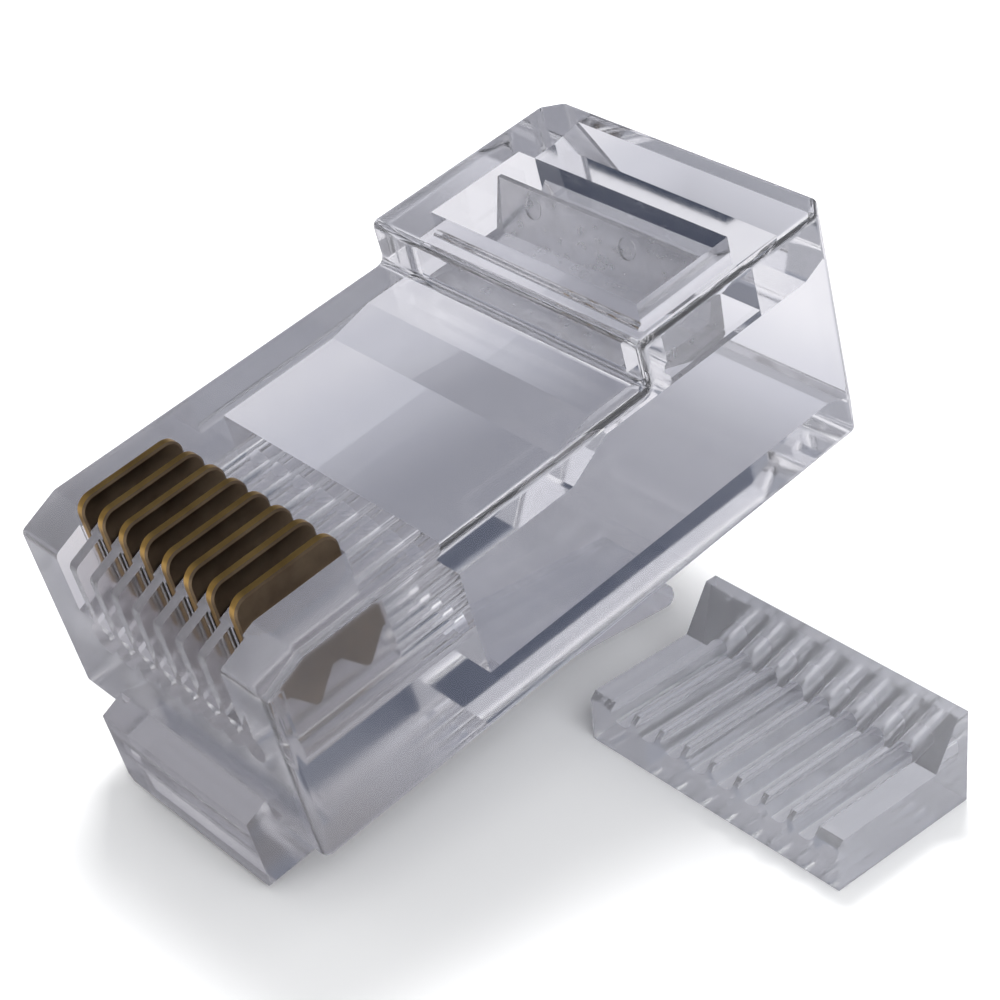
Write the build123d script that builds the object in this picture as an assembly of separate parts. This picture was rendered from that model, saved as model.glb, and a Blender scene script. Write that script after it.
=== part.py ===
from build123d import *
from math import asin, atan, atan2, cos, degrees, hypot, radians, sin
import os

# An uncrimped eight-way modular plug lying contact side up, with its loose load bar beside it.
# Every piece of the plug is drawn in the plug's own axes: x across, y from the nose to the
# cable entry, z from the latch side to the contact side. At the end the plug is tilted about x
# until its latch root and its latch tip both touch the table, and the load bar is laid beside it.
# All sizes are in millimetres.

# Housing, outside
PLUG_WIDTH = 11.68
PLUG_LENGTH = 21.46
NOSE_HEIGHT = 6.55
BLOCK_RISE = 1.45
BLOCK_LENGTH = 7.66
NOSE_LEAD_LENGTH = 1.4
NOSE_LEAD_DROP = 0.55
REAR_CHAMFER = 0.5
REAR_CORNER_CUT = 0.6
EDGE_RADIUS = 0.25

# Housing, inside
CABLE_FLOOR = 1.3
ROOF_THICKNESS = 2.25
CABLE_CEILING_START = 12.4
CEILING_RAMP_START = 10.9
MOUTH_FLARE = 0.45
MOUTH_FLARE_LENGTH = 1.1
LOAD_BAR_CLEARANCE = 0.05
LOAD_CAVITY_HEADROOM = 0.55
LOAD_CAVITY_FRONT = 6.7

# Conductor positions, shared by the contacts, their slots, the channels and the load bar
WAYS = 8
PITCH = 1.016
CHANNEL_RADIUS = 0.53
CHANNEL_END = 0.9

# Contact blades and their slots
BLADE_FRONT = 1.0
BLADE_REAR = 4.5
BLADE_ABOVE_FACE = 0.8
BLADE_PRESSED_BELOW_FACE = 0.53
BLADE_THICKNESS = 0.34
BLADE_ROOT_HEIGHT = 2.75
BLADE_CORNER_RADIUS = 0.5
BLADE_EDGE_CHAMFER = 0.06
TINE_COUNT = 2
TINE_LENGTH = 0.8
TINE_TIP_WIDTH = 0.16
TINE_GAP = 0.15
SLOT_CLEARANCE = 0.04
SLOT_END_CLEARANCE = 0.05
GROOVE_WIDTH = 0.66
GROOVE_BOTTOM_FRONT = 3.95
GROOVE_BOTTOM_REAR = 4.35

# Strain relief bar and the window that it is pressed through
WINDOW_WIDTH = 8.8
WINDOW_LENGTH = 3.6
WINDOW_TO_REAR = 2.76
RELIEF_SIDE_GAP = 0.25
RELIEF_HINGE_BEHIND_EDGE = 0.1
RELIEF_HINGE_ABOVE_CEILING = 0.35
RELIEF_KNUCKLE_RADIUS = 0.2
RELIEF_REACH = 2.5
RELIEF_TOP_BREAK = 1.84
RELIEF_TOP_LAND = 0.15
RELIEF_TOP_BELOW_FACE = 0.12
RELIEF_KEEL_DROP = 0.85
RELIEF_KEEL_Y = 1.7
RELIEF_HEEL_DROP = 0.5
RELIEF_HEEL_SLOPE = 0.2
RELIEF_MARK_RADIUS = 0.35
RELIEF_MARK_DEPTH = 0.08
RELIEF_MARK_BELOW_TOP = 0.55
RELIEF_MARKS_X = (-2.55, 1.5)
HINGE_CLEARANCE = 0.05

# Latch root, moulded on the nose
ROOT_WIDTH = 7.0
ROOT_REACH = 0.8
ROOT_DEPTH = 2.4
ROOT_RISE = 0.9
ROOT_SHOULDER = 0.3
ROOT_CORNER = 0.4
ROOT_SIDE_CHAMFER = 0.6
ROOT_SUNK = 0.6

# Latch lever, hinged to the root
LATCH_HINGE_Y = 1.35
LATCH_HINGE_Z = -1.45
LATCH_KNUCKLE_RADIUS = 0.42
LATCH_TAB_WIDTH = 3.25
LATCH_TAB_THICKNESS = 0.78
LATCH_TIP_Y = 16.05
LATCH_TIP_TOP_Z = -4.62
LATCH_SLOPE = 0.235
LATCH_TIP_RADIUS = 0.3
SHOULDER_WIDTH = 6.2
SHOULDER_Y = 8.5
SHOULDER_TOP_Z = -1.95
SHOULDER_DEPTH = 0.9

# Load bar: eight wires lie in its grooves and pass through its sloping back wall
LOAD_BAR_WIDTH = 9.65
LOAD_BAR_LENGTH = 5.2
LOAD_BAR_BASE = 1.65
LOAD_BAR_HEIGHT = 3.1
LOAD_BAR_SLOPE_START = 3.9
LOAD_BAR_WALL_TOP = 0.4
LOAD_BAR_CORNER = 0.2
GUIDE_RADIUS = 0.42
GUIDE_DROP = 0.12
LOAD_BAR_OVERLAP = 1.05
LOAD_BAR_BEHIND_ROOT = 9.9


def prism(outline, width, x_mid=0.0):
    """A side outline of (y, z) points, as thick as width and centred on x_mid."""
    face = Plane.YZ * make_face(Polyline(*outline, close=True))
    return Pos(x_mid, 0, 0) * extrude(face, width / 2, both=True)


def cross_rod(radius, width, y, z):
    """A round bar across the plug."""
    return Pos(0, y, z) * Rot(0, 90, 0) * Cylinder(radius, width)


def long_rod(radius, y_from, y_to, x, z):
    """A round bar along the plug."""
    return Pos(x, (y_from + y_to) / 2, z) * Rot(90, 0, 0) * Cylinder(radius, y_to - y_from)


def way_positions():
    return [(way - (WAYS - 1) / 2) * PITCH for way in range(WAYS)]


# The load bar sits on the cavity's floor, so its grooves set the height of the wire channels.
CHANNEL_Z = CABLE_FLOOR + LOAD_BAR_BASE - GUIDE_DROP
CAVITY_WIDTH = LOAD_BAR_WIDTH + 2 * LOAD_BAR_CLEARANCE
LOAD_CAVITY_TOP = CABLE_FLOOR + LOAD_BAR_HEIGHT + LOAD_CAVITY_HEADROOM
BLOCK_HEIGHT = NOSE_HEIGHT + BLOCK_RISE
BLOCK_START = PLUG_LENGTH - BLOCK_LENGTH
CABLE_CEILING = BLOCK_HEIGHT - ROOF_THICKNESS
WINDOW_REAR = PLUG_LENGTH - WINDOW_TO_REAR
WINDOW_FRONT = WINDOW_REAR - WINDOW_LENGTH
RELIEF_HINGE_Y = WINDOW_FRONT + RELIEF_HINGE_BEHIND_EDGE
RELIEF_HINGE_Z = CABLE_CEILING + RELIEF_HINGE_ABOVE_CEILING
BLADE_TOP = NOSE_HEIGHT + BLADE_ABOVE_FACE
BLADE_TRAVEL = BLADE_ABOVE_FACE + BLADE_PRESSED_BELOW_FACE
OVERCUT = 1.0


def housing_shell():
    outline = [
        (0, 0),
        (PLUG_LENGTH - REAR_CHAMFER, 0),
        (PLUG_LENGTH, REAR_CHAMFER),
        (PLUG_LENGTH, BLOCK_HEIGHT),
        (BLOCK_START, BLOCK_HEIGHT),
        (BLOCK_START, NOSE_HEIGHT),
        (NOSE_LEAD_LENGTH, NOSE_HEIGHT),
        (0, NOSE_HEIGHT - NOSE_LEAD_DROP),
    ]
    shell = prism(outline, PLUG_WIDTH)
    rear_uprights = shell.edges().filter_by(Axis.Z).group_by(Axis.Y)[-1]
    shell = chamfer(rear_uprights, REAR_CORNER_CUT)
    return fillet(shell.edges(), EDGE_RADIUS)


def latch_root():
    outline = [
        (ROOT_SUNK, ROOT_RISE),
        (0, ROOT_RISE),
        (-ROOT_REACH, ROOT_RISE - ROOT_SHOULDER),
        (-ROOT_REACH, -ROOT_DEPTH + ROOT_CORNER),
        (-ROOT_REACH + ROOT_CORNER, -ROOT_DEPTH),
        (LATCH_HINGE_Y - ROOT_CORNER, -ROOT_DEPTH),
        (LATCH_HINGE_Y, -ROOT_DEPTH + ROOT_CORNER),
        (LATCH_HINGE_Y, ROOT_SUNK),
    ]
    root = prism(outline, ROOT_WIDTH)
    low_sides = root.edges().filter_by(Axis.Y).group_by(Axis.Z)[0]
    root = chamfer(low_sides, ROOT_SIDE_CHAMFER)
    seat_width = ROOT_WIDTH + OVERCUT
    seat = cross_rod(LATCH_KNUCKLE_RADIUS + HINGE_CLEARANCE, seat_width, LATCH_HINGE_Y, LATCH_HINGE_Z)
    return root - seat


def cable_cavity():
    outline = [
        (LOAD_CAVITY_FRONT, CABLE_FLOOR),
        (PLUG_LENGTH - MOUTH_FLARE_LENGTH, CABLE_FLOOR),
        (PLUG_LENGTH, CABLE_FLOOR - MOUTH_FLARE),
        (PLUG_LENGTH + OVERCUT, CABLE_FLOOR - MOUTH_FLARE),
        (PLUG_LENGTH + OVERCUT, CABLE_CEILING + MOUTH_FLARE),
        (PLUG_LENGTH, CABLE_CEILING + MOUTH_FLARE),
        (PLUG_LENGTH - MOUTH_FLARE_LENGTH, CABLE_CEILING),
        (CABLE_CEILING_START, CABLE_CEILING),
        (CEILING_RAMP_START, LOAD_CAVITY_TOP),
        (LOAD_CAVITY_FRONT, LOAD_CAVITY_TOP),
    ]
    return prism(outline, CAVITY_WIDTH)


def wire_channels():
    return [long_rod(CHANNEL_RADIUS, CHANNEL_END, LOAD_CAVITY_FRONT, x, CHANNEL_Z) for x in way_positions()]


def contact_slots():
    """Deep enough for the tines to reach into the wires when the blades are pressed."""
    slot_bottom = BLADE_TOP - BLADE_ROOT_HEIGHT - TINE_LENGTH - BLADE_TRAVEL - SLOT_END_CLEARANCE
    slots = []
    for x in way_positions():
        slot_outline = [
            (BLADE_FRONT - SLOT_END_CLEARANCE, slot_bottom),
            (BLADE_REAR + SLOT_END_CLEARANCE, slot_bottom),
            (BLADE_REAR + SLOT_END_CLEARANCE, NOSE_HEIGHT + OVERCUT),
            (BLADE_FRONT - SLOT_END_CLEARANCE, NOSE_HEIGHT + OVERCUT),
        ]
        groove_outline = [
            (-OVERCUT, GROOVE_BOTTOM_FRONT),
            (0, GROOVE_BOTTOM_FRONT),
            (BLADE_FRONT, GROOVE_BOTTOM_REAR),
            (BLADE_FRONT, NOSE_HEIGHT + OVERCUT),
            (-OVERCUT, NOSE_HEIGHT + OVERCUT),
        ]
        slots.append(prism(slot_outline, BLADE_THICKNESS + 2 * SLOT_CLEARANCE, x))
        slots.append(prism(groove_outline, GROOVE_WIDTH, x))
    return slots


def relief_window():
    middle = (WINDOW_FRONT + WINDOW_REAR) / 2
    height = BLOCK_HEIGHT - CABLE_CEILING + 2 * OVERCUT
    opening = Pos(0, middle, (BLOCK_HEIGHT + CABLE_CEILING) / 2) * Box(WINDOW_WIDTH, WINDOW_LENGTH, height)
    seat = cross_rod(RELIEF_KNUCKLE_RADIUS + HINGE_CLEARANCE, WINDOW_WIDTH, RELIEF_HINGE_Y, RELIEF_HINGE_Z)
    return opening + seat


def housing():
    body = housing_shell() + latch_root()
    cuts = [cable_cavity(), relief_window()] + wire_channels() + contact_slots()
    for cut in cuts:
        body = body - cut
    return body


def contact_blade(x):
    """A flat blade with rounded top corners and pointed tines that pierce the wire when it is pressed."""
    length = BLADE_REAR - BLADE_FRONT
    tine_pitch = length / TINE_COUNT
    tine_root = BLADE_TOP - BLADE_ROOT_HEIGHT
    outline = [(BLADE_FRONT, BLADE_TOP), (BLADE_FRONT, tine_root)]
    for tine in range(TINE_COUNT):
        start = BLADE_FRONT + tine * tine_pitch
        middle = start + tine_pitch / 2
        outline.append((start + TINE_GAP, tine_root))
        outline.append((middle - TINE_TIP_WIDTH / 2, tine_root - TINE_LENGTH))
        outline.append((middle + TINE_TIP_WIDTH / 2, tine_root - TINE_LENGTH))
        outline.append((start + tine_pitch - TINE_GAP, tine_root))
    outline.append((BLADE_REAR, tine_root))
    outline.append((BLADE_REAR, BLADE_TOP))
    blade = prism(outline, BLADE_THICKNESS, x)
    top_corners = blade.edges().filter_by(Axis.X).group_by(Axis.Z)[-1]
    blade = fillet(top_corners, BLADE_CORNER_RADIUS)
    top_edges = blade.edges().filter_by(Axis.Y).group_by(Axis.Z)[-1]
    return chamfer(top_edges, BLADE_EDGE_CHAMFER)


def strain_relief_bar():
    """The wedge that is pressed down on the cable's jacket, with a knuckle at its thin front web."""
    y = RELIEF_HINGE_Y
    z = RELIEF_HINGE_Z
    top = BLOCK_HEIGHT - RELIEF_TOP_BELOW_FACE
    outline = [
        (y, z - RELIEF_KNUCKLE_RADIUS),
        (y + RELIEF_KEEL_Y, z - RELIEF_KEEL_DROP),
        (y + RELIEF_REACH - RELIEF_HEEL_SLOPE, z - RELIEF_HEEL_DROP),
        (y + RELIEF_REACH, top),
        (y + RELIEF_REACH - RELIEF_TOP_LAND, top),
        (y + RELIEF_TOP_BREAK, z + RELIEF_KNUCKLE_RADIUS),
        (y, z + RELIEF_KNUCKLE_RADIUS),
    ]
    width = WINDOW_WIDTH - 2 * RELIEF_SIDE_GAP
    bar = prism(outline, width) + cross_rod(RELIEF_KNUCKLE_RADIUS, width, y, z)
    slope = atan2(top - z - RELIEF_KNUCKLE_RADIUS, RELIEF_REACH - RELIEF_TOP_LAND - RELIEF_TOP_BREAK)
    mark_y = y + RELIEF_REACH - RELIEF_TOP_LAND - RELIEF_MARK_BELOW_TOP * cos(slope)
    mark_z = top - RELIEF_MARK_BELOW_TOP * sin(slope)
    dimple = Rot(degrees(slope), 0, 0) * Cylinder(RELIEF_MARK_RADIUS, 2 * RELIEF_MARK_DEPTH)
    for x in RELIEF_MARKS_X:
        bar = bar - Pos(x, mark_y, mark_z) * dimple
    return bar


def latch_lever():
    """A narrow tab from the hinge to the tip, with wide locking shoulders on its front half."""
    top_at_hinge = LATCH_TIP_TOP_Z + LATCH_SLOPE * (LATCH_TIP_Y - LATCH_HINGE_Y)
    tab_outline = [
        (LATCH_HINGE_Y, top_at_hinge),
        (LATCH_HINGE_Y, top_at_hinge - LATCH_TAB_THICKNESS),
        (LATCH_TIP_Y, LATCH_TIP_TOP_Z - LATCH_TAB_THICKNESS),
        (LATCH_TIP_Y, LATCH_TIP_TOP_Z),
    ]
    tab = prism(tab_outline, LATCH_TAB_WIDTH)
    tip = tab.edges().filter_by(Axis.X).group_by(Axis.Y)[-1]
    tab = fillet(tip, LATCH_TIP_RADIUS)
    shoulder_outline = [
        (LATCH_HINGE_Y, LATCH_HINGE_Z + LATCH_KNUCKLE_RADIUS),
        (LATCH_HINGE_Y, LATCH_HINGE_Z - LATCH_KNUCKLE_RADIUS),
        (SHOULDER_Y, SHOULDER_TOP_Z - SHOULDER_DEPTH),
        (SHOULDER_Y, SHOULDER_TOP_Z),
    ]
    shoulders = prism(shoulder_outline, SHOULDER_WIDTH)
    knuckle = cross_rod(LATCH_KNUCKLE_RADIUS, SHOULDER_WIDTH, LATCH_HINGE_Y, LATCH_HINGE_Z)
    return tab + shoulders + knuckle


def load_bar():
    """Drawn with its front bottom edge on y = 0 and z = 0."""
    outline = [
        (0, 0),
        (LOAD_BAR_LENGTH, 0),
        (LOAD_BAR_LENGTH, LOAD_BAR_HEIGHT),
        (LOAD_BAR_LENGTH - LOAD_BAR_WALL_TOP, LOAD_BAR_HEIGHT),
        (LOAD_BAR_SLOPE_START, LOAD_BAR_BASE),
        (LOAD_BAR_CORNER, LOAD_BAR_BASE),
        (0, LOAD_BAR_BASE - LOAD_BAR_CORNER),
    ]
    bar = prism(outline, LOAD_BAR_WIDTH)
    for x in way_positions():
        guide_z = LOAD_BAR_BASE - GUIDE_DROP
        bar = bar - long_rod(GUIDE_RADIUS, -OVERCUT, LOAD_BAR_LENGTH + OVERCUT, x, guide_z)
    return bar


def plug_tilt():
    """Degrees that the nose hangs down when the plug rests on its latch root and latch tip."""
    root_y = -ROOT_REACH + ROOT_CORNER
    tip_y = LATCH_TIP_Y - LATCH_TIP_RADIUS
    tip_z = LATCH_TIP_TOP_Z - LATCH_TAB_THICKNESS + LATCH_TIP_RADIUS * LATCH_SLOPE
    tip_z = tip_z + LATCH_TIP_RADIUS / cos(atan(LATCH_SLOPE))
    span = tip_y - root_y
    drop = -ROOT_DEPTH - tip_z
    return degrees(atan2(drop, span) + asin(LATCH_TIP_RADIUS / hypot(span, drop)))


def overall_box(named_pieces):
    boxes = [piece.bounding_box() for piece in named_pieces.values()]
    low = [min(box.min.X for box in boxes), min(box.min.Y for box in boxes), min(box.min.Z for box in boxes)]
    high = [max(box.max.X for box in boxes), max(box.max.Y for box in boxes), max(box.max.Z for box in boxes)]
    return low, high


def lay_down(plug_pieces, bar):
    """Tilt the plug, lay the load bar on the same table and centre everything over the origin."""
    tilt = plug_tilt()
    laid = {name: Rot(tilt, 0, 0) * piece for name, piece in plug_pieces.items()}
    table_z = overall_box(laid)[0][2]
    root_y = ROOT_DEPTH * sin(radians(tilt))
    bar_x = PLUG_WIDTH / 2 - LOAD_BAR_OVERLAP + LOAD_BAR_WIDTH / 2
    laid["load_bar"] = Pos(bar_x, root_y + LOAD_BAR_BEHIND_ROOT, table_z) * bar
    low, high = overall_box(laid)
    centring = Pos(-(low[0] + high[0]) / 2, -(low[1] + high[1]) / 2, -low[2])
    return {name: centring * piece for name, piece in laid.items()}


def build():
    plug_pieces = {
        "housing": housing(),
        "latch": latch_lever(),
        "strain_relief_bar": strain_relief_bar(),
    }
    for way, x in enumerate(way_positions()):
        plug_pieces["contact_%d" % (way + 1)] = contact_blade(x)
    return lay_down(plug_pieces, load_bar())


pieces = build()
os.makedirs("parts", exist_ok=True)
for name, piece in pieces.items():
    export_step(piece, "parts/%s.step" % name)
    box = piece.bounding_box()
    print("%s: %.2f mm3, from %s to %s" % (name, piece.volume, box.min, box.max))
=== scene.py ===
import math

import bmesh
import bpy
from mathutils import Matrix, Vector

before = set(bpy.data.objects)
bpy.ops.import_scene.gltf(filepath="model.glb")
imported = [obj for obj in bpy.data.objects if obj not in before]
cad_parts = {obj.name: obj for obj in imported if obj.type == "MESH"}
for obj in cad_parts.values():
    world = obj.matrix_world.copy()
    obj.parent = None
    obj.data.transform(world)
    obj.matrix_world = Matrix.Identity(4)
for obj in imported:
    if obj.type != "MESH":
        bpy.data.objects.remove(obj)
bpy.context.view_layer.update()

MM_PER_M = 1000

# The plug lies nose down by TILT. Its own axes, in millimetres from the middle of the nose's
# lower edge, go through plug_point to the frame's metres.
TILT = math.radians(10.26998)
SHIFT = Vector((-4.30, -9.98462, 2.43282))
SIN_T, COS_T = math.sin(TILT), math.cos(TILT)

# The camera that fits the photograph, in the plug's own axes, and its focal length in pixels.
EYE = (49.58, -18.78, 47.58)
LOOK = (-0.6654, 0.4114, -0.6230)
UPWARD = (-0.3611, 0.5530, 0.7509)
FOCAL_PIXELS = 2521
PHOTO_PIXELS = 1000
SENSOR_MM = 36.0

# The plastic dulls along the frame's Y, in metres, from clear to its full dullness at the nose.
NOSE_DULL_FROM = -0.0045
NOSE_DULL_FULL = -0.0070
POLYCARBONATE_IOR = 1.585
ROUGH_SPREAD = 1.8

WAYS = 8

# The floor lies just under the object, and two cards lie on it, one over the other.
FLOOR_Z = -0.00002
PAPER_Z = FLOOR_Z / 2
FLAG_Z = FLOOR_Z / 4
FLOOR_REACH = 2.0
PAPER_REACH = 0.06
# Where the floor, seen from afar, goes over into the white background, in metres from the middle.
FLOOR_FADE = (0.05, 0.16)
# The paper's shade reaches this far out from the parts, in metres.
SHADE_REACH = 0.015


def plug_vector(x, y, z):
    return Vector((x, y * COS_T - z * SIN_T, y * SIN_T + z * COS_T))


def plug_point(x, y, z):
    return (plug_vector(x, y, z) + SHIFT) / MM_PER_M


# ---------------------------------------------------------------- camera
look = plug_vector(*LOOK).normalized()
rightward = look.cross(plug_vector(*UPWARD)).normalized()
upward = rightward.cross(look)
cam_data = bpy.data.cameras.new("camera")
cam_data.sensor_width = SENSOR_MM
cam_data.lens = FOCAL_PIXELS / PHOTO_PIXELS * SENSOR_MM
cam_data.clip_start = 0.001
cam_data.clip_end = 10.0
cam = bpy.data.objects.new("camera", cam_data)
turn = Matrix((rightward, upward, -look)).transposed().to_4x4()
cam.matrix_world = Matrix.Translation(plug_point(*EYE)) @ turn
bpy.context.scene.collection.objects.link(cam)
bpy.context.scene.camera = cam


# ---------------------------------------------------------------- node helpers
def add(nodes, kind, inputs=None, **settings):
    """A new node, with its settings made first and then its plain inputs filled in."""
    node = nodes.new(kind)
    for field, value in settings.items():
        setattr(node, field, value)
    for socket, value in (inputs or {}).items():
        node.inputs[socket].default_value = value
    return node


def ramp(nodes, links, source, stops):
    """A colour ramp over a value, from (position, colour) stops in rising order."""
    node = nodes.new("ShaderNodeValToRGB")
    elements = node.color_ramp.elements
    for number, (position, colour) in enumerate(stops):
        stop = elements[number] if number < 2 else elements.new(position)
        stop.position = position
        stop.color = (*colour, 1)
    links.new(source, node.inputs["Fac"])
    return node


def noise(nodes, links, vector, **inputs):
    node = add(nodes, "ShaderNodeTexNoise", inputs)
    links.new(vector, node.inputs["Vector"])
    return node.outputs["Fac"]


def new_material(name):
    mat = bpy.data.materials.new(name)
    mat.use_nodes = True
    nodes = mat.node_tree.nodes
    return mat, nodes, mat.node_tree.links, nodes["Principled BSDF"]


def background_rays(nodes, links):
    """1 for a ray that shows a background: from the camera, or by way of gloss or glass."""
    rays = nodes.new("ShaderNodeLightPath")
    total = rays.outputs["Is Camera Ray"]
    for kind in ("Is Glossy Ray", "Is Transmission Ray"):
        added = add(nodes, "ShaderNodeMath", operation="ADD", use_clamp=True)
        links.new(total, added.inputs[0])
        links.new(rays.outputs[kind], added.inputs[1])
        total = added.outputs[0]
    return total


# ---------------------------------------------------------------- materials
def clear_plastic(name, tint, cloud, rough, clear, nose_rough=0.0, nose_painted_shade=(1, 1, 1)):
    """Moulded polycarbonate: clear, faintly tinted, with soft flow marks and handling marks.
    The plug's nose, with all its small slots and channels, comes duller out of the mould, and
    its colour is darkened there as painted shade."""
    mat, nodes, links, bsdf = new_material(name)
    coords = nodes.new("ShaderNodeTexCoord")
    flow = noise(nodes, links, coords.outputs["Object"], Scale=420, Detail=5, Distortion=1.2)
    tone = ramp(nodes, links, flow, [(0.3, cloud), (0.7, tint)])
    marks = noise(nodes, links, coords.outputs["Object"], Scale=2600, Detail=4)
    gloss = add(nodes, "ShaderNodeMapRange", {
        "From Min": 0.35, "From Max": 0.75, "To Min": rough, "To Max": rough * ROUGH_SPREAD})
    links.new(marks, gloss.inputs["Value"])
    place = nodes.new("ShaderNodeSeparateXYZ")
    links.new(coords.outputs["Object"], place.inputs[0])
    nose = add(nodes, "ShaderNodeMapRange",
               {"From Min": NOSE_DULL_FROM, "From Max": NOSE_DULL_FULL},
               interpolation_type="SMOOTHSTEP")
    links.new(place.outputs["Y"], nose.inputs["Value"])
    dull = add(nodes, "ShaderNodeMath", {1: nose_rough}, operation="MULTIPLY_ADD")
    links.new(nose.outputs["Result"], dull.inputs[0])
    links.new(gloss.outputs["Result"], dull.inputs[2])
    links.new(dull.outputs[0], bsdf.inputs["Roughness"])
    # The colour is darkened towards the nose: painted shade.
    shade = add(nodes, "ShaderNodeMix", {"B": (*nose_painted_shade, 1)},
                data_type="RGBA", blend_type="MULTIPLY")
    links.new(nose.outputs["Result"], shade.inputs["Factor"])
    links.new(tone.outputs["Color"], shade.inputs["A"])
    links.new(shade.outputs["Result"], bsdf.inputs["Base Color"])
    bsdf.inputs["Transmission Weight"].default_value = clear
    bsdf.inputs["IOR"].default_value = POLYCARBONATE_IOR
    return mat


def contact_metal(name):
    """Gold on a blade's edges and a brown painted shade on its sides, drawn along the blade."""
    mat, nodes, links, bsdf = new_material(name)
    coords = nodes.new("ShaderNodeTexCoord")
    patches = noise(nodes, links, coords.outputs["Object"], Scale=900, Detail=6)
    plating = ramp(nodes, links, patches, [
        (0.25, (0.34, 0.20, 0.05)), (0.75, (0.55, 0.34, 0.10))])
    # The sideways-facing faces take a darker brown: painted shade.
    side_brown_painted_shade = ramp(nodes, links, patches, [
        (0.25, (0.15, 0.105, 0.065)), (0.75, (0.27, 0.20, 0.125))])
    facing = nodes.new("ShaderNodeSeparateXYZ")
    links.new(coords.outputs["Normal"], facing.inputs[0])
    sideways = add(nodes, "ShaderNodeMath", operation="ABSOLUTE")
    links.new(facing.outputs["X"], sideways.inputs[0])
    on_side = add(nodes, "ShaderNodeMapRange", {"From Min": 0.3, "From Max": 0.6})
    links.new(sideways.outputs[0], on_side.inputs["Value"])
    gold_and_side_shade = add(nodes, "ShaderNodeMix", data_type="RGBA")
    links.new(on_side.outputs["Result"], gold_and_side_shade.inputs["Factor"])
    links.new(plating.outputs["Color"], gold_and_side_shade.inputs["A"])
    links.new(side_brown_painted_shade.outputs["Color"], gold_and_side_shade.inputs["B"])
    links.new(gold_and_side_shade.outputs["Result"], bsdf.inputs["Base Color"])
    stretch = add(nodes, "ShaderNodeMapping", {"Scale": (9000, 500, 9000)})
    links.new(coords.outputs["Object"], stretch.inputs["Vector"])
    drawn = noise(nodes, links, stretch.outputs["Vector"], Scale=1)
    relief = add(nodes, "ShaderNodeBump", {"Strength": 0.3, "Distance": 0.00001})
    links.new(drawn, relief.inputs["Height"])
    links.new(relief.outputs["Normal"], bsdf.inputs["Normal"])
    bsdf.inputs["Metallic"].default_value = 1.0
    bsdf.inputs["Roughness"].default_value = 0.36
    return mat


def dress(node, mat):
    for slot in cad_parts[node].material_slots:
        slot.material = mat


plastic = clear_plastic(
    "plug_plastic", tint=(0.955, 0.957, 0.97), cloud=(0.93, 0.932, 0.955), rough=0.03,
    clear=0.975, nose_rough=0.10, nose_painted_shade=(0.90, 0.885, 0.875))
bar_plastic = clear_plastic(
    "load_bar_plastic", tint=(0.96, 0.965, 0.985), cloud=(0.92, 0.925, 0.95), rough=0.02,
    clear=0.86)
relief_plastic = clear_plastic(
    "relief_bar_plastic", tint=(0.80, 0.80, 0.82), cloud=(0.76, 0.76, 0.79), rough=0.17,
    clear=0.93)
gold = contact_metal("contact_gold")

dress("housing", plastic)
dress("latch", plastic)
dress("strain_relief_bar", relief_plastic)
dress("load_bar", bar_plastic)
for way in range(1, WAYS + 1):
    dress("contact_%d" % way, gold)


# ---------------------------------------------------------------- floor and cards
def flat_material(name, colour, rough):
    mat, nodes, links, bsdf = new_material(name)
    bsdf.inputs["Base Color"].default_value = (*colour, 1)
    bsdf.inputs["Roughness"].default_value = rough
    bsdf.inputs["Specular IOR Level"].default_value = 0.2
    return mat, nodes, links, bsdf


def glow_material(name, colour):
    """A plain glow of strength 1, and its emission node for a pattern of colours."""
    mat, nodes, links, bsdf = new_material(name)
    nodes.remove(bsdf)
    glow = add(nodes, "ShaderNodeEmission", {"Color": (*colour, 1), "Strength": 1.0})
    links.new(glow.outputs["Emission"], nodes["Material Output"].inputs["Surface"])
    return mat, nodes, links, glow


def stage_object(name, mesh, mat):
    obj = bpy.data.objects.new(name, mesh)
    obj.data.materials.append(mat)
    bpy.context.scene.collection.objects.link(obj)
    return obj


def sheet(name, low, high, z, mat):
    """A level sheet on the stage, between two corners."""
    (left, front), (right, back) = low, high
    corners = [(left, front, z), (right, front, z), (right, back, z), (left, back, z)]
    mesh = bpy.data.meshes.new(name)
    mesh.from_pydata(corners, [], [(0, 1, 2, 3)])
    return stage_object(name, mesh, mat)


def only_in_gloss(obj):
    """A studio card shows in glass and gloss, not to the camera, and casts nothing."""
    obj.visible_camera = False
    obj.visible_diffuse = False
    obj.visible_shadow = False


# The floor is pale paper round the object, and goes over into the white background further out.
floor_mat, nodes, links, bsdf = flat_material("floor_paper", (0.9, 0.9, 0.9), 0.8)
place = nodes.new("ShaderNodeNewGeometry")
distance = add(nodes, "ShaderNodeVectorMath", operation="LENGTH")
links.new(place.outputs["Position"], distance.inputs[0])
far_away = add(nodes, "ShaderNodeMapRange",
               {"From Min": FLOOR_FADE[0], "From Max": FLOOR_FADE[1]},
               interpolation_type="SMOOTHSTEP")
links.new(distance.outputs["Value"], far_away.inputs["Value"])
far_seen = add(nodes, "ShaderNodeMath", operation="MULTIPLY")
links.new(far_away.outputs["Result"], far_seen.inputs[0])
links.new(background_rays(nodes, links), far_seen.inputs[1])
white = nodes.new("ShaderNodeEmission")
floor_mix = nodes.new("ShaderNodeMixShader")
links.new(far_seen.outputs[0], floor_mix.inputs["Fac"])
links.new(bsdf.outputs["BSDF"], floor_mix.inputs[1])
links.new(white.outputs["Emission"], floor_mix.inputs[2])
links.new(floor_mix.outputs["Shader"], nodes["Material Output"].inputs["Surface"])
sheet("floor", (-FLOOR_REACH, -FLOOR_REACH), (FLOOR_REACH, FLOOR_REACH), FLOOR_Z, floor_mat)


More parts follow.
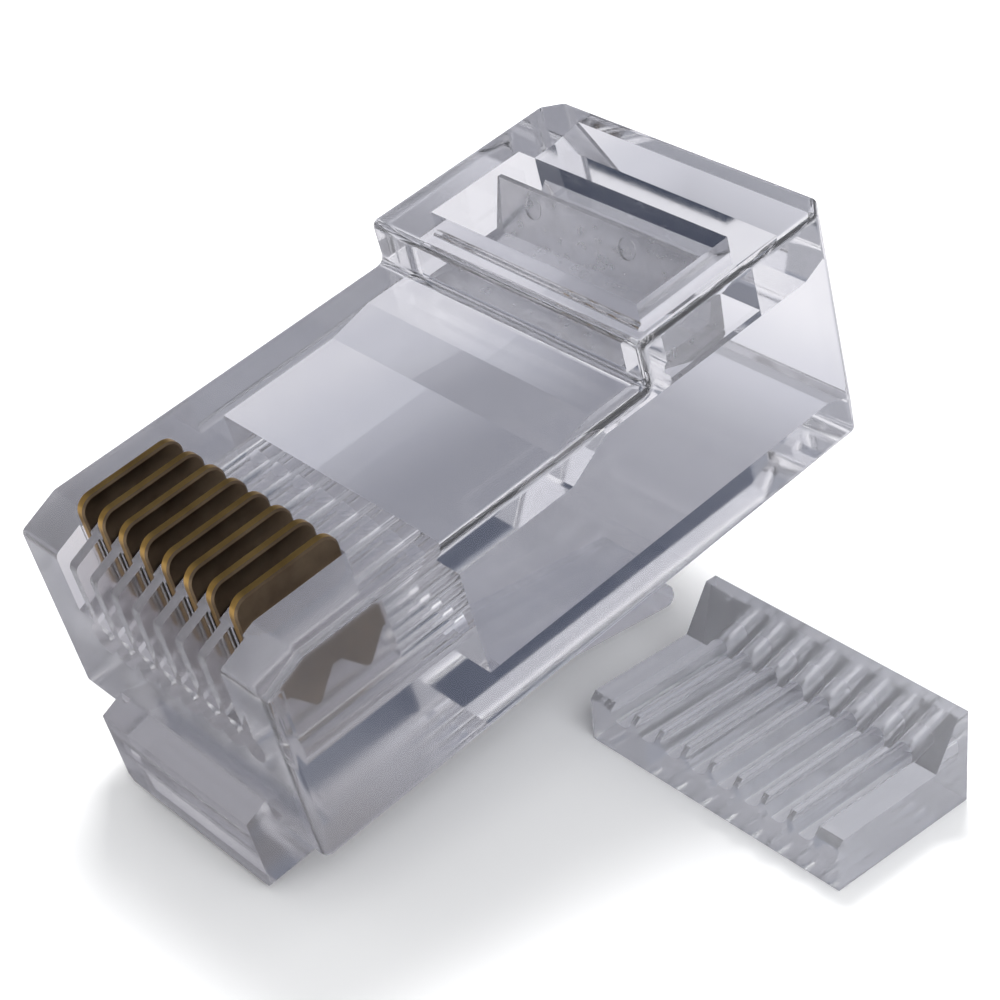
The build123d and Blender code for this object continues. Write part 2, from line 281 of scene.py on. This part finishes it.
def shade_distance(nodes, links, middle, half):
    """Metres from a rectangle on the floor, from its own sides outwards."""
    place = nodes.new("ShaderNodeNewGeometry")
    offset = add(nodes, "ShaderNodeVectorMath", {1: (*middle, 0)}, operation="SUBTRACT")
    links.new(place.outputs["Position"], offset.inputs[0])
    size = add(nodes, "ShaderNodeVectorMath", operation="ABSOLUTE")
    links.new(offset.outputs[0], size.inputs[0])
    beyond = add(nodes, "ShaderNodeVectorMath", {1: (*half, 0)}, operation="SUBTRACT")
    links.new(size.outputs[0], beyond.inputs[0])
    parts = nodes.new("ShaderNodeSeparateXYZ")
    links.new(beyond.outputs[0], parts.inputs[0])
    furthest = add(nodes, "ShaderNodeMath", operation="MAXIMUM")
    links.new(parts.outputs["X"], furthest.inputs[0])
    links.new(parts.outputs["Y"], furthest.inputs[1])
    return furthest.outputs[0]


# The clear plastic doesn't let enough lamp light through to the floor under it. A paper laid over
# the floor, seen only in glass and gloss, glows with that light as painted light, and has the
# soft shade under the parts painted on it as a painted shadow.
paper_mat, nodes, links, glow = glow_material("painted_paper_light_and_shade", (1, 1, 1))
nearest = add(nodes, "ShaderNodeMath", operation="MINIMUM")
under_plug = shade_distance(nodes, links, (-0.0043, 0.0), (0.00584, 0.011))
under_bar = shade_distance(nodes, links, (0.0053, 0.0029), (0.0048, 0.0026))
links.new(under_plug, nearest.inputs[0])
links.new(under_bar, nearest.inputs[1])
spread = add(nodes, "ShaderNodeMapRange", {"From Max": SHADE_REACH})
links.new(nearest.outputs[0], spread.inputs["Value"])
# Dark next to the parts and bright further out: a painted shadow on the glowing paper.
painted_paper_shadow = ramp(nodes, links, spread.outputs["Result"], [
    (0.1, (0.37, 0.37, 0.41)), (0.55, (0.72, 0.72, 0.78)), (0.85, (0.92, 0.91, 0.95))])
painted_paper_shadow.color_ramp.interpolation = "EASE"
links.new(painted_paper_shadow.outputs["Color"], glow.inputs["Color"])
only_in_gloss(sheet(
    "paper", (-PAPER_REACH, -PAPER_REACH), (PAPER_REACH, PAPER_REACH), PAPER_Z, paper_mat))

# A dark flag lying behind the set darkens the slot behind the strain relief bar.
flag_mat = glow_material("flag_paint", (0.01, 0.02, 0.05))[0]
only_in_gloss(sheet("flag", (-0.031, 0.0248), (-0.018, 0.0282), FLAG_Z, flag_mat))


# ---------------------------------------------------------------- studio walls
def dome(name, radius, colour, patches):
    """Studio walls in one tone, with soft round patches of (aim, inner and outer angle, tone)."""
    mesh = bpy.data.meshes.new(name)
    shape = bmesh.new()
    bmesh.ops.create_uvsphere(shape, u_segments=48, v_segments=24, radius=radius)
    low = [v for v in shape.verts if v.co.z < -radius * 0.3]
    bmesh.ops.delete(shape, geom=low, context="VERTS")
    shape.to_mesh(mesh)
    shape.free()
    mat, nodes, links, glow = glow_material(name + "_paint", colour)
    coords = nodes.new("ShaderNodeTexCoord")
    way = add(nodes, "ShaderNodeVectorMath", operation="NORMALIZE")
    links.new(coords.outputs["Object"], way.inputs[0])
    below = None
    for aim, inner, outer, tone in patches:
        dot = add(nodes, "ShaderNodeVectorMath", {1: Vector(aim).normalized()},
                  operation="DOT_PRODUCT")
        links.new(way.outputs[0], dot.inputs[0])
        edge = add(nodes, "ShaderNodeMapRange",
                   {"From Min": math.cos(math.radians(outer)),
                    "From Max": math.cos(math.radians(inner))},
                   interpolation_type="SMOOTHSTEP")
        links.new(dot.outputs["Value"], edge.inputs["Value"])
        mix = add(nodes, "ShaderNodeMix", {"A": (*colour, 1), "B": (*tone, 1)},
                  data_type="RGBA")
        if below is not None:
            links.new(below, mix.inputs["A"])
        links.new(edge.outputs["Result"], mix.inputs["Factor"])
        below = mix.outputs["Result"]
    links.new(below, glow.inputs["Color"])
    only_in_gloss(stage_object(name, mesh, mat))


dome("dome", 0.5, (0.38, 0.385, 0.43), [
    ((-0.64, 0.25, 0.70), 18, 36, (0.21, 0.23, 0.29)),
    ((-0.668, 0.33, 0.665), 7, 13, (0.03, 0.045, 0.09)),
    ((0.62, 0.29, 0.73), 8, 20, (0.26, 0.26, 0.29)),
    ((0.05, 0.30, 0.95), 12, 26, (1.0, 1.0, 1.0)),
    ((0.12, -0.58, 0.80), 14, 30, (0.75, 0.75, 0.80)),
])


# ---------------------------------------------------------------- lamps and world
def area_light(name, place, size, power, colour):
    """A soft square lamp aimed at the middle of the set, and not seen in glass or gloss."""
    data = bpy.data.lights.new(name, "AREA")
    data.shape = "SQUARE"
    data.size = size
    data.energy = power
    data.color = colour
    obj = bpy.data.objects.new(name, data)
    obj.location = place
    obj.rotation_euler = (-Vector(place)).to_track_quat("-Z", "Y").to_euler()
    obj.visible_glossy = False
    obj.visible_transmission = False
    bpy.context.scene.collection.objects.link(obj)


area_light("key", (-0.12, 0.10, 0.25), 0.12, 0.9, (1.0, 1.0, 1.0))
area_light("fill", (0.20, -0.05, 0.18), 0.16, 0.35, (0.95, 0.97, 1.0))

# The world is white where it is seen as the background, and a little lower as light.
world = bpy.data.worlds.new("studio")
bpy.context.scene.world = world
world.use_nodes = True
nodes, links = world.node_tree.nodes, world.node_tree.links
background = nodes["Background"]
strength = add(nodes, "ShaderNodeMapRange", {"To Min": 0.75, "To Max": 1.0})
links.new(background_rays(nodes, links), strength.inputs["Value"])
links.new(strength.outputs["Result"], background.inputs["Strength"])
background.inputs["Color"].default_value = (1, 1, 1, 1)

scene = bpy.context.scene
scene.view_settings.view_transform = "Standard"
# Light crosses many walls of the clear plastic before it leaves it.
scene.cycles.max_bounces = 32
scene.cycles.transmission_bounces = 32
scene.cycles.glossy_bounces = 12
